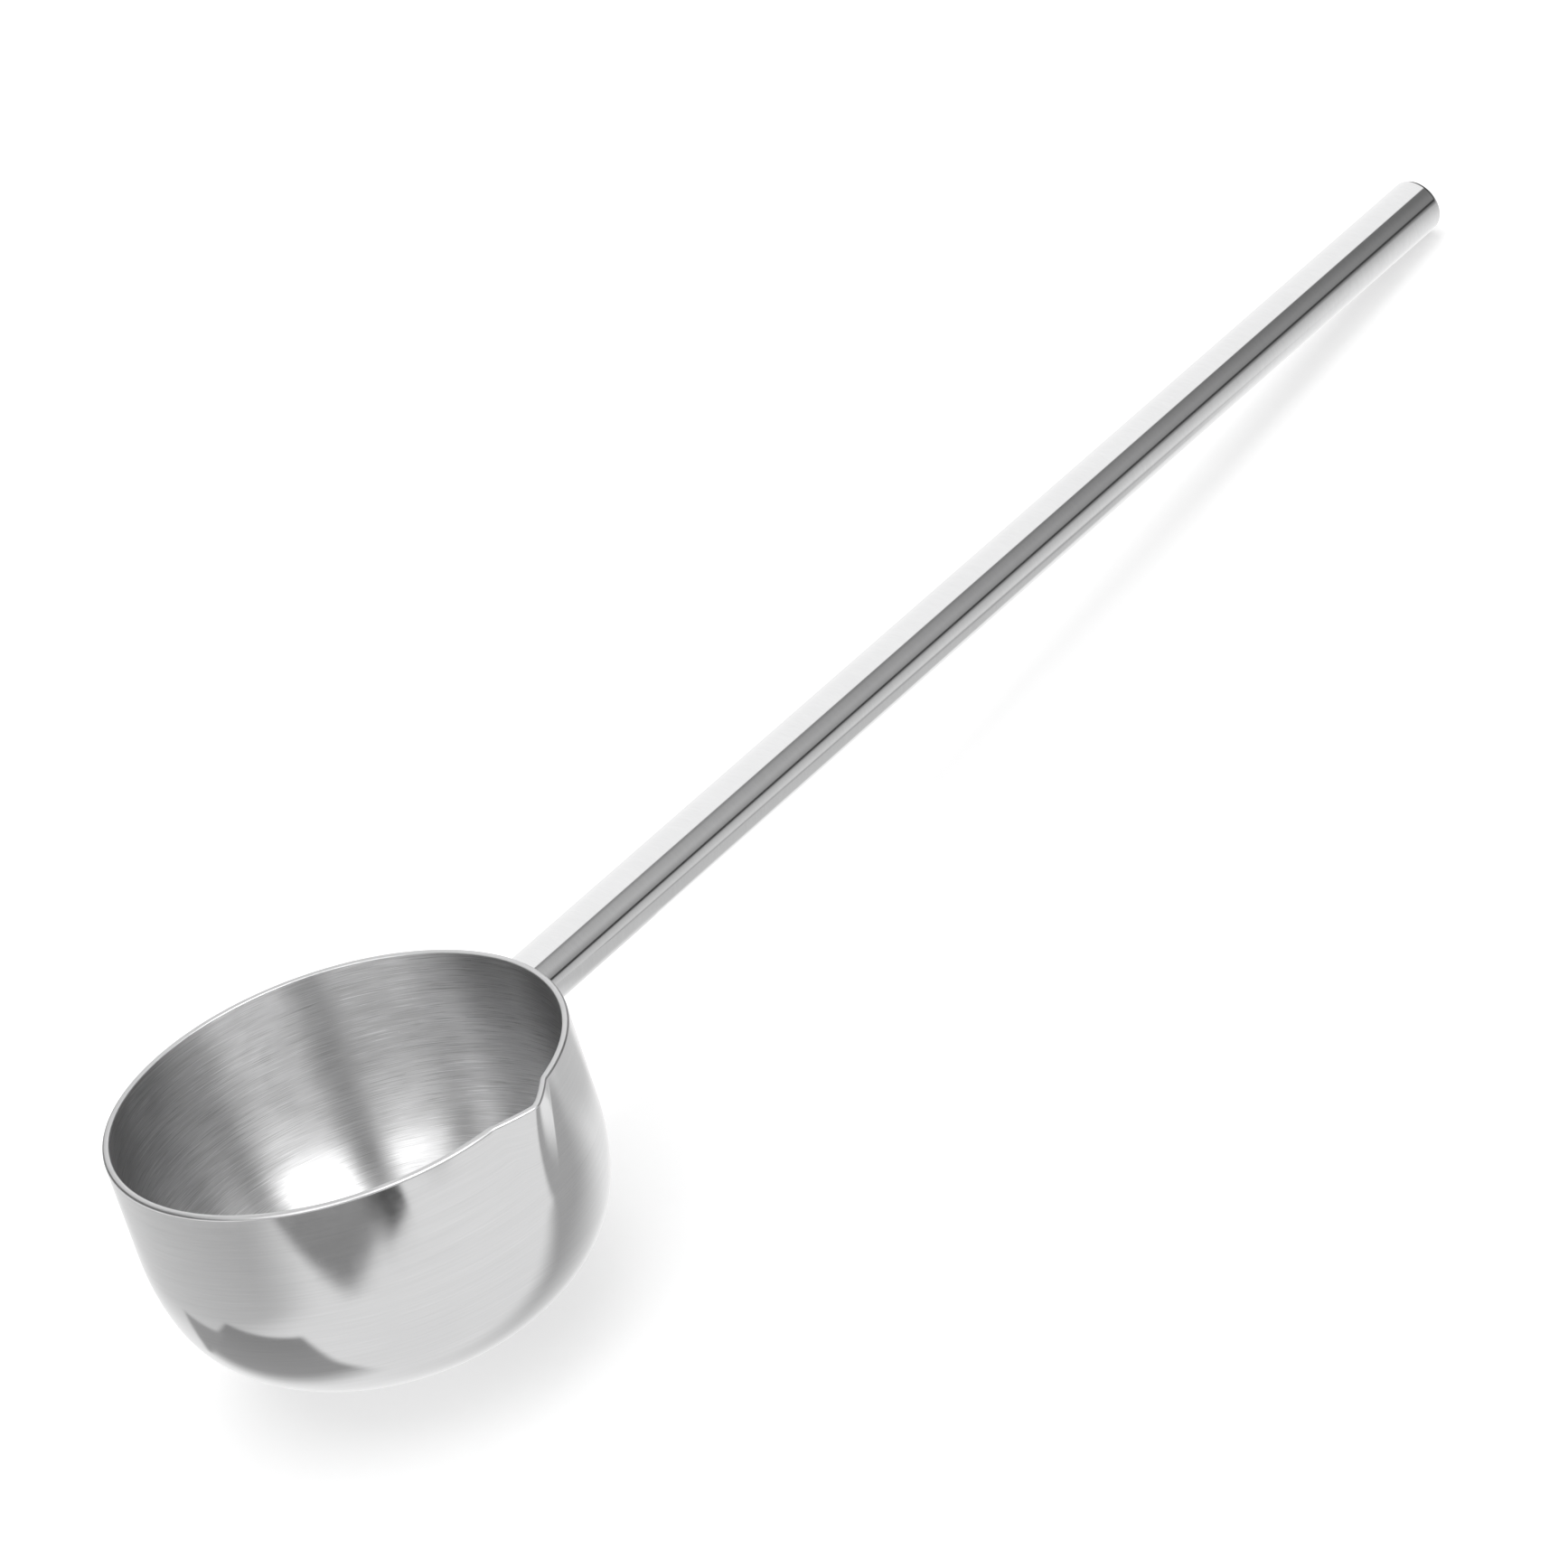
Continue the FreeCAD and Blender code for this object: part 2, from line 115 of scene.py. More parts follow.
class SectionPen:
    """Draws a section as one wire, with straight stretches and bends, in the XZ plane."""

    def __init__(self, x: float, z: float, heading: float) -> None:
        """Sets the pen down.

        Args:
            x: distance from the axis or along it, in millimetres.
            z: height, in millimetres.
            heading: direction of travel, in degrees from +X towards +Z.
        """
        self.bm = bmesh.new()
        self.heading = math.radians(heading)
        self.vert = self.bm.verts.new(Vector((x, 0.0, z)) * MM)

    def aim(self, heading: float) -> "SectionPen":
        """Points the pen in a direction, in degrees from +X towards +Z."""
        self.heading = math.radians(heading)
        return self

    def _step(self, move: Vector) -> None:
        """Extrudes the last vertex by one edge."""
        made = bmesh.ops.extrude_vert_indiv(self.bm, verts=[self.vert])
        self.vert = made["verts"][0]
        bmesh.ops.translate(self.bm, verts=[self.vert], vec=move)

    def straight(self, length: float, steps: int = 1, hold: float = 0.0) -> "SectionPen":
        """Draws a straight stretch.

        Args:
            length: its length, in millimetres.
            steps: edges along its middle.
            hold: length of a short edge at each end, which keeps the shading flat.

        Returns:
            The pen itself.
        """
        ahead = Vector((math.cos(self.heading), 0.0, math.sin(self.heading)))
        middle = (length - 2 * hold) / steps
        lengths = [hold] * (hold > 0) + [middle] * steps + [hold] * (hold > 0)
        for edge_length in lengths:
            self._step(ahead * edge_length * MM)
        return self

    def bend(self, radius: float, turn: float, steps: int) -> "SectionPen":
        """Draws an arc that leaves the last edge along its tangent.

        Args:
            radius: the arc's radius, in millimetres.
            turn: the angle that it turns, in degrees, positive to the left.
            steps: edges along it.

        Returns:
            The pen itself.
        """
        side = math.copysign(1.0, turn)
        to_centre = Vector((-math.sin(self.heading), 0.0, math.cos(self.heading))) * side
        centre = self.vert.co + to_centre * radius * MM
        made = bmesh.ops.spin(
            self.bm,
            geom=[self.vert],
            cent=centre,
            axis=-Vector(ASIDE),
            angle=math.radians(turn),
            steps=steps,
        )
        self.vert = next(item for item in made["geom_last"] if isinstance(item, bmesh.types.BMVert))
        self.heading += math.radians(turn)
        return self

    def close(self) -> "SectionPen":
        """Joins the last vertex to the first one."""
        self.bm.verts.ensure_lookup_table()
        self.bm.edges.new((self.vert, self.bm.verts[0]))
        return self

    def turn_round(
        self, axis: Axis, stretches: list[tuple[float, int]], level: float = 0.0
    ) -> bmesh.types.BMesh:
        """Turns the section about an axis into a closed skin.

        Args:
            axis: the axis that it turns about.
            stretches: angles in degrees, 360 in all, each with its number of steps.
            level: height of a handle's axis, in millimetres.

        Returns:
            The turned skin, with its normals outwards.
        """
        centre = Vector(UP) * level * MM
        ring = list(self.bm.verts) + list(self.bm.edges)
        for angle, steps in stretches:
            made = bmesh.ops.spin(
                self.bm,
                geom=ring,
                cent=centre,
                axis=Vector(axis.value),
                angle=math.radians(angle),
                steps=steps,
                use_merge=len(stretches) == 1,
            )
            ring = made["geom_last"]
        bmesh.ops.remove_doubles(self.bm, verts=self.bm.verts, dist=JOIN_DISTANCE)
        bmesh.ops.dissolve_degenerate(self.bm, edges=self.bm.edges, dist=SLIVER_LENGTH)
        bmesh.ops.recalc_face_normals(self.bm, faces=self.bm.faces)
        return self.bm


class NodeGraph:
    """Short names for the nodes that the finishes use."""

    def __init__(self, tree: bpy.types.NodeTree) -> None:
        """Keeps the tree that the nodes go in."""
        self.tree = tree

    def add(self, kind: str) -> bpy.types.Node:
        """Adds a node of a kind."""
        return self.tree.nodes.new(kind)

    def find(self, kind: str) -> bpy.types.Node:
        """Finds the tree's first node of a type."""
        return next(node for node in self.tree.nodes if node.type == kind)

    def link(self, source: bpy.types.NodeSocket, target: bpy.types.NodeSocket) -> None:
        """Joins two sockets."""
        self.tree.links.new(source, target)

    def feed(self, value: object, target: bpy.types.NodeSocket) -> None:
        """Links a socket's value, or sets a plain number."""
        if isinstance(value, bpy.types.NodeSocket):
            self.link(value, target)
        else:
            target.default_value = value

    def attribute(self, name: str) -> bpy.types.NodeSocket:
        """Reads one of the piece's own vector fields."""
        node = self.add("ShaderNodeAttribute")
        node.attribute_name = name
        return node.outputs["Vector"]

    def calc(self, operation: str, *values: object) -> bpy.types.NodeSocket:
        """Adds a Math node."""
        node = self.add("ShaderNodeMath")
        node.operation = operation
        for value, target in zip(values, node.inputs):
            self.feed(value, target)
        return node.outputs["Value"]

    def mixed(
        self, first: bpy.types.NodeSocket, second: bpy.types.NodeSocket, share: float
    ) -> bpy.types.NodeSocket:
        """Adds two values up, the first by its share and the second by the rest."""
        return self.calc("MULTIPLY_ADD", first, share, self.calc("MULTIPLY", second, 1.0 - share))

    def scaled(
        self, vector: bpy.types.NodeSocket, factors: tuple[float, float, float]
    ) -> bpy.types.NodeSocket:
        """Stretches a vector along its axes."""
        node = self.add("ShaderNodeVectorMath")
        node.operation = "MULTIPLY"
        self.link(vector, node.inputs[0])
        node.inputs[1].default_value = factors
        return node.outputs["Vector"]

    def dot(self, vector: bpy.types.NodeSocket, other: tuple[float, float, float]) -> bpy.types.NodeSocket:
        """Measures a vector along a fixed direction."""
        node = self.add("ShaderNodeVectorMath")
        node.operation = "DOT_PRODUCT"
        self.link(vector, node.inputs[0])
        node.inputs[1].default_value = other
        return node.outputs["Value"]

    def slanted(
        self, lines: bpy.types.NodeSocket, place: bpy.types.NodeSocket, slant: float
    ) -> bpy.types.NodeSocket:
        """Leans the lines a little across the piece, by so much for each metre of its own place."""
        lean = self.add("ShaderNodeVectorMath")
        lean.operation = "MULTIPLY_ADD"
        swapped = self.add("ShaderNodeCombineXYZ")
        self.link(self.dot(place, LEAN_DIRECTION), swapped.inputs["Z"])
        self.link(swapped.outputs["Vector"], lean.inputs[0])
        lean.inputs[1].default_value = (slant, slant, slant)
        self.link(lines, lean.inputs[2])
        return lean.outputs["Vector"]

    def ease(self, value: bpy.types.NodeSocket, start: float, end: float) -> bpy.types.NodeSocket:
        """Goes smoothly from 0 at the start to 1 at the end, which may lie on either side of it."""
        if start < end:
            return self.span(value, start, end, 0.0, 1.0, smooth=True)
        return self.span(value, end, start, 1.0, 0.0, smooth=True)

    def turned(
        self,
        vector: bpy.types.NodeSocket,
        rotation: tuple[float, float, float],
        scale: tuple[float, float, float],
    ) -> bpy.types.NodeSocket:
        """Turns and stretches a pattern with a Mapping node."""
        node = self.add("ShaderNodeMapping")
        self.link(vector, node.inputs["Vector"])
        node.inputs["Rotation"].default_value = rotation
        node.inputs["Scale"].default_value = scale
        return node.outputs["Vector"]

    def noise(
        self,
        vector: bpy.types.NodeSocket,
        scale: float = 1.0,
        detail: float = 2.0,
        roughness: float = 0.5,
    ) -> bpy.types.NodeSocket:
        """Adds a Noise Texture and gives its value."""
        node = self.add("ShaderNodeTexNoise")
        self.link(vector, node.inputs["Vector"])
        node.inputs["Scale"].default_value = scale
        node.inputs["Detail"].default_value = detail
        node.inputs["Roughness"].default_value = roughness
        return node.outputs["Fac"]

    def span(
        self,
        value: bpy.types.NodeSocket,
        start: float,
        end: float,
        low: float,
        high: float,
        smooth: bool = False,
    ) -> bpy.types.NodeSocket:
        """Maps one range of values to another, and holds it at its ends."""
        node = self.add("ShaderNodeMapRange")
        node.interpolation_type = "SMOOTHSTEP" if smooth else "LINEAR"
        self.link(value, node.inputs["Value"])
        for name, number in (("From Min", start), ("From Max", end), ("To Min", low), ("To Max", high)):
            node.inputs[name].default_value = number
        return node.outputs["Result"]

    def ramp(
        self, value: bpy.types.NodeSocket, *stops: tuple[float, tuple[float, float, float]]
    ) -> bpy.types.NodeSocket:
        """Adds a Color Ramp with the given places and colours."""
        node = self.add("ShaderNodeValToRGB")
        for element, (place, colour) in zip(node.color_ramp.elements, stops):
            element.position = place
            element.color = (*colour, 1.0)
        self.link(value, node.inputs["Fac"])
        return node.outputs["Color"]

    def bump(
        self, height: bpy.types.NodeSocket, distance: float, normal: Optional[bpy.types.NodeSocket] = None
    ) -> bpy.types.NodeSocket:
        """Adds a Bump node, on top of another where one is given."""
        node = self.add("ShaderNodeBump")
        node.inputs["Distance"].default_value = distance
        self.link(height, node.inputs["Height"])
        if normal is not None:
            self.link(normal, node.inputs["Normal"])
        return node.outputs["Normal"]


@dataclass(frozen=True)
class SteelFinish:
    """One way of finishing stainless steel, as a procedural material.

    The brushing follows the piece's own field of lines: X and Y of the field run
    slowly round the piece, and Z runs across the lines.
    """

    name: str
    colour: tuple[float, float]
    roughness: tuple[float, float]
    anisotropy: float
    line_width: float
    line_length: float
    line_bump: float
    stroke_contrast: float
    scratch_level: float
    cloud_size: float
    cloud_bump: float
    line_slant: float = 0.05
    fine_share: float = 0.6
    coarse_length: float = 2.0
    coarse_width: float = 5.0
    stroke_edges: tuple[float, float] = (0.60, 0.72)
    furrow_edges: tuple[float, float] = (0.40, 0.28)
    cloud_detail: float = 3.0
    wear_size_share: float = 0.12
    wear_grain: float = 0.6
    brushing_share: float = 0.55
    range_used: tuple[float, float] = (0.3, 0.7)
    blueness: float = 1.005
    wear_share: float = 0.5
    scratch_dullness: float = 0.25
    scratch_relief: float = 0.6
    scratch_edge: float = 0.04
    scratch_turns: tuple[tuple[float, float, float], ...] = ((0.5, 0.35, 0.65), (1.9, 1.33, 2.47))
    scratch_stretch: tuple[float, float, float] = (70.0, 2600.0, 500.0)

    def make(self) -> bpy.types.Material:
        """Builds the material.

        Returns:
            The new material.
        """
        material = bpy.data.materials.new(self.name)
        material.use_nodes = True
        graph = NodeGraph(material.node_tree)
        shader = graph.find("BSDF_PRINCIPLED")
        shader.inputs["Metallic"].default_value = 1.0
        shader.inputs["Anisotropic"].default_value = self.anisotropy
        shader.inputs["Anisotropic Rotation"].default_value = QUARTER_TURN if self.anisotropy else 0.0

        place = graph.add("ShaderNodeTexCoord").outputs["Object"]
        fine, brushing = self._brushing(graph, place)
        scratches = self._scratches(graph, place)
        cloud = self.cloud_size * MM
        clouds = graph.noise(place, 1.0 / cloud, detail=self.cloud_detail)
        wear = graph.noise(place, 1.0 / (cloud * self.wear_size_share), roughness=self.wear_grain)

        shade = graph.mixed(brushing, clouds, self.brushing_share)
        for marks, sign in (
            (graph.ease(fine, *self.stroke_edges), 1),
            (graph.ease(fine, *self.furrow_edges), -1),
            (scratches, 1),
        ):
            shade = graph.calc("MULTIPLY_ADD", marks, sign * self.stroke_contrast, shade)
        stops = [
            (at, (grey, grey, grey * self.blueness)) for at, grey in zip(self.range_used, self.colour)
        ]
        graph.link(graph.ramp(shade, *stops), shader.inputs["Base Color"])

        dullness = graph.mixed(clouds, wear, self.wear_share)
        dullness = graph.calc("MULTIPLY_ADD", scratches, self.scratch_dullness, dullness)
        dullness = graph.span(dullness, *self.range_used, *self.roughness)
        graph.link(dullness, shader.inputs["Roughness"])

        relief = graph.calc("MULTIPLY_ADD", scratches, self.scratch_relief, brushing)
        ridges = graph.bump(relief, self.line_bump * MM)
        graph.link(graph.bump(clouds, self.cloud_bump * MM, ridges), shader.inputs["Normal"])
        if self.anisotropy:
            graph.link(graph.attribute(DIRECTION_FIELD), shader.inputs["Tangent"])
        return material

    def _brushing(
        self, graph: NodeGraph, place: bpy.types.NodeSocket
    ) -> tuple[bpy.types.NodeSocket, bpy.types.NodeSocket]:
        """Makes the brushing from a fine and a coarse pattern, both drawn out along the lines.

        Args:
            graph: the material's nodes.
            place: the object coordinates.

        Returns:
            The fine pattern, and the two together.
        """
        slanted = graph.slanted(graph.attribute(LINES_FIELD), place, self.line_slant)
        along, across = 1.0 / (self.line_length * MM), 1.0 / (self.line_width * MM)
        fine = graph.noise(graph.scaled(slanted, (along, along, across)))
        along, across = along / self.coarse_length, across / self.coarse_width
        coarse = graph.noise(graph.scaled(slanted, (along, along, across)))
        return fine, graph.mixed(fine, coarse, self.fine_share)

    def _scratches(self, graph: NodeGraph, place: bpy.types.NodeSocket) -> bpy.types.NodeSocket:
        """Makes thin stray scratches where two stretched patterns rise highest.

        Args:
            graph: the material's nodes.
            place: the object coordinates.

        Returns:
            A value that is 1 in a scratch and 0 beside it.
        """
        found = []
        for turn in self.scratch_turns:
            pattern = graph.noise(graph.turned(place, turn, self.scratch_stretch), detail=0.0)
            found.append(graph.ease(pattern, self.scratch_level, self.scratch_level + self.scratch_edge))
        return graph.calc("MAXIMUM", *found)


BRUSHED_INSIDE = SteelFinish(
    name="steel_brushed_in_rings",
    colour=(0.46, 0.74),
    roughness=(0.30, 0.36),
    anisotropy=0.97,
    line_width=0.14,
    line_length=7.0,
    line_bump=0.004,
    stroke_contrast=0.55,
    scratch_level=0.90,
    cloud_size=22.0,
    cloud_bump=0.01,
)
SATIN_OUTSIDE = SteelFinish(
    name="steel_soft_mirror",
    colour=(0.64, 0.71),
    roughness=(0.07, 0.12),
    anisotropy=0.0,
    line_width=0.35,
    line_length=14.0,
    line_bump=0.0003,
    stroke_contrast=0.03,
    scratch_level=0.83,
    cloud_size=26.0,
    cloud_bump=0.03,
)
POLISHED_RIM = SteelFinish(
    name="steel_polished_rim",
    colour=(0.56, 0.66),
    roughness=(0.34, 0.44),
    anisotropy=0.0,
    line_width=0.30,
    line_length=6.0,
    line_bump=0.001,
    stroke_contrast=0.02,
    scratch_level=0.84,
    cloud_size=12.0,
    cloud_bump=0.005,
)
MIRROR_HANDLE = SteelFinish(
    name="steel_mirror_tube",
    colour=(0.67, 0.73),
    roughness=(0.06, 0.10),
    anisotropy=0.0,
    line_width=0.30,
    line_length=18.0,
    line_bump=0.0004,
    stroke_contrast=0.02,
    scratch_level=0.84,
    cloud_size=30.0,
    cloud_bump=0.006,
)
GROUND_WELD = SteelFinish(
    name="steel_ground_weld",
    colour=(0.52, 0.68),
    roughness=(0.20, 0.34),
    anisotropy=0.0,
    line_width=0.35,
    line_length=2.5,
    line_bump=0.004,
    stroke_contrast=0.10,
    scratch_level=0.80,
    cloud_size=5.0,
    cloud_bump=0.03,
)


def write_fields(mesh: bpy.types.Mesh, bowl_frame: BowlFrame, axis: Axis, level: float) -> None:
    """Writes the fields that the brushing follows, from the mesh in the bowl's frame.

    Args:
        mesh: the mesh, still in the bowl's own frame.
        bowl_frame: where the bowl's frame lies.
        axis: the axis that the lines run round.
        level: height of a handle's axis, in millimetres.
    """
    lines = mesh.attributes.new(LINES_FIELD, "FLOAT_VECTOR", "POINT")
    directions = mesh.attributes.new(DIRECTION_FIELD, "FLOAT_VECTOR", "POINT")
    axle = Vector(axis.value)
    for vertex, line, direction in zip(mesh.vertices, lines.data, directions.data):
        place = vertex.co - Vector(UP) * level * MM
        spoke = place - axle * place.dot(axle)
        if axis is Axis.BOWL:
            steady = Vector((spoke.x, spoke.y))
            across = place.z + spoke.length
        else:
            steady = Vector((spoke.y, spoke.z))
            across = place.x
        steady = steady.normalized() * FIELD_RADIUS
        line.vector = (steady.x, steady.y, across)
        round_about = axle.cross(spoke)
        if round_about.length < ALMOST_NOTHING:
            round_about = Vector(ASIDE)
        direction.vector = bowl_frame.aim(round_about.normalized())


@dataclass
class Piece:
    """What every piece of the ladle shares: how its mesh is finished and handed in."""

    bowl_frame: BowlFrame

    def finish_piece(
        self,
        name: str,
        bm: bmesh.types.BMesh,
        axis: Axis,
        level: float,
        finishes: list[SteelFinish],
        node: str,
        slot: str,
        sharp_angle: float = SHARP_ANGLE,
    ) -> bpy.types.Object:
        """Turns a skin in the bowl's frame into a finished piece in the row frame.

        Args:
            name: the piece's name.
            bm: its skin.
            axis: the axis that its polishing lines run round.
            level: height of that axis, in millimetres.
            finishes: its finishes, in the order of the faces' material numbers.
            node: the solid that it stands for.
            slot: the record's material slot; not used.
            sharp_angle: edges that turn more than this, in degrees, stay sharp.

        Returns:
            The new object.
        """
        for face in bm.faces:
            face.smooth = True
        for edge in bm.edges:
            if len(edge.link_faces) == 2:
                edge.smooth = edge.calc_face_angle(0.0) < math.radians(sharp_angle)
        mesh = bpy.data.meshes.new(name)
        bm.to_mesh(mesh)
        bm.free()
        write_fields(mesh, self.bowl_frame, axis, level)
        mesh.transform(self.bowl_frame.matrix)
        for finish in finishes:
            mesh.materials.append(material_of(finish))
        piece = bpy.data.objects.new(name, mesh)
        bpy.context.scene.collection.objects.link(piece)
        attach(piece, "root")
        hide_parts(node)
        LOG.info("%s: %d faces, stands for %s", name, len(mesh.polygons), node)
        return piece


def material_of(finish: SteelFinish) -> bpy.types.Material:
    """Makes a finish's material once, and gives the same one after that."""
    return bpy.data.materials.get(finish.name) or finish.make()


@dataclass
class Spout:
    """The pouring spout, pressed as two flat facets that meet in a ridge. Millimetres."""

    azimuth: float = -87.0
    reach: float = 3.7
    depth: float = 23.5
    half_width: float = 8.2
    ridge_rounding: float = 0.7
    ridge_fading: float = 2.2
    run_out: float = 2.0
    crease_share: float = 0.07
    foot_share: float = 0.16

    def reshape(self, bm: bmesh.types.BMesh, rim_radius: float, wall: float) -> None:
        """Presses the spout in the upright wall of a round bowl.

        Args:
            bm: the bowl's skin, in its own frame.
            rim_radius: outside radius of the wall.
            wall: thickness of the sheet.
        """
        turn = Matrix.Rotation(math.radians(-self.azimuth), 3, "Z")
        back = turn.inverted()
        for vert in bm.verts:
            local = turn @ vert.co / MM
            left = self.share_left(local.z)
            inset = rim_radius - math.hypot(local.x, local.y)
            if left > 0 and local.x > 0 and inset < 2 * wall:
                push = self.push_out(local.y, left, wall - inset)
                vert.co = back @ Vector((local.x + push, local.y, local.z)) * MM

    def share_left(self, height: float) -> float:
        """Gives the share of the spout that is left at a height under the rim, with a soft foot."""
        share = min(1.0 + height / self.depth, 1.0)
        if share >= self.foot_share:
            return share
        return max(share + self.foot_share, 0.0) ** 2 / (4.0 * self.foot_share)

    def push_out(self, across: float, left: float, outward: float) -> float:
        """Works out how far a point of the wall moves along the spout's direction.

        Args:
            across: the point's distance from the spout's middle.
            left: share of the spout's depth that is left below the point.
            outward: the point's distance from the inside of the wall.

        Returns:
            The distance, in millimetres.
        """
        half_width = self.half_width * left
        height = self.reach * left**self.run_out
        rounding = self.ridge_rounding + self.ridge_fading * (1.0 - left)
        rounded = math.hypot(across, rounding)
        inside = 1.0 - (rounded - rounding) / half_width
        if inside <= -self.crease_share:
            return 0.0
        grip = min((inside + self.crease_share) / (2.0 * self.crease_share), 1.0)
        roof = inside if grip == 1.0 else self.crease_share * grip**2
        slope = height / half_width * grip * across / rounded
        return height * roof + outward * (math.sqrt(1.0 + slope**2) - 1.0)


@dataclass
class BowlShell(Piece):
    """The deep-drawn bowl, with the spout pressed in its upright wall. Millimetres."""

    rim_radius: float = 47.5
    wall: float = 1.5
    straight_depth: float = 21.5
    bends: tuple[tuple[float, float, int], ...] = ((33.0, 46.0, 22), (23.5, 28.0, 14), (49.5, 16.0, 12))
    foot_radius: float = 16.159
    depth: float = 55.067
    outer_rounding: float = 0.48
    inner_rounding: float = 0.25
    foot_steps: int = 8
    upright_steps: int = 26
    rounding_steps: int = 6
    edge_hold: float = 0.15
    spout: Spout = field(default_factory=Spout)
    spout_sector: float = 56.0
    spout_steps: int = 140
    other_steps: int = 204
    heart_share: float = 0.4

    def build(self) -> bpy.types.Object:
        """Turns the bowl's section, presses the spout and sorts the faces by their finish.

        Returns:
            The bowl's object.
        """
        outer_upright = self.straight_depth - self.outer_rounding
        inner_upright = self.straight_depth - self.inner_rounding
        pen = SectionPen(0.0, -self.depth, heading=0.0)
        pen.straight(self.foot_radius, self.foot_steps)
        for radius, turn, steps in self.bends:
            pen.bend(radius, turn, steps)
        pen.straight(outer_upright, self.upright_steps, self.edge_hold)
        pen.bend(self.outer_rounding, 90.0, self.rounding_steps)
        pen.straight(self.wall - self.outer_rounding - self.inner_rounding, steps=2)
        pen.bend(self.inner_rounding, 90.0, self.rounding_steps)
        pen.straight(inner_upright, self.upright_steps, self.edge_hold)
        for radius, turn, steps in reversed(self.bends):
            pen.bend(radius - self.wall, -turn, steps)
        pen.straight(self.foot_radius, self.foot_steps)

        start = Matrix.Rotation(math.radians(self.spout.azimuth - self.spout_sector / 2), 3, "Z")
        bmesh.ops.rotate(pen.bm, verts=pen.bm.verts, cent=(0, 0, 0), matrix=start)
        sectors = [(self.spout_sector, self.spout_steps), (360.0 - self.spout_sector, self.other_steps)]
        bm = pen.turn_round(Axis.BOWL, sectors)
        self.sort_faces(bm)
        self.spout.reshape(bm, self.rim_radius, self.wall)
        return self.finish_piece(
            "bowl_shell",
            bm,
            Axis.BOWL,
            0.0,
            [SATIN_OUTSIDE, BRUSHED_INSIDE, POLISHED_RIM],
            "bowl",
            "bowl_steel",
        )

    def sort_faces(self, bm: bmesh.types.BMesh) -> None:
        """Gives each face the number of its finish: a rim face, or one that looks out or in."""
        middle = (self.rim_radius - self.wall / 2) * MM
        heart = Vector((0.0, 0.0, -self.heart_share * self.depth * MM))
        for face in bm.faces:
            centre = face.calc_center_median()
            outer = math.hypot(centre.x, centre.y) > middle
            rounding = self.outer_rounding if outer else self.inner_rounding
            if centre.z > -rounding * MM:
                side = Side.RIM
            elif face.normal.dot(centre - heart) < 0:
                side = Side.INSIDE
            else:
                side = Side.OUTSIDE
            face.material_index = side.value


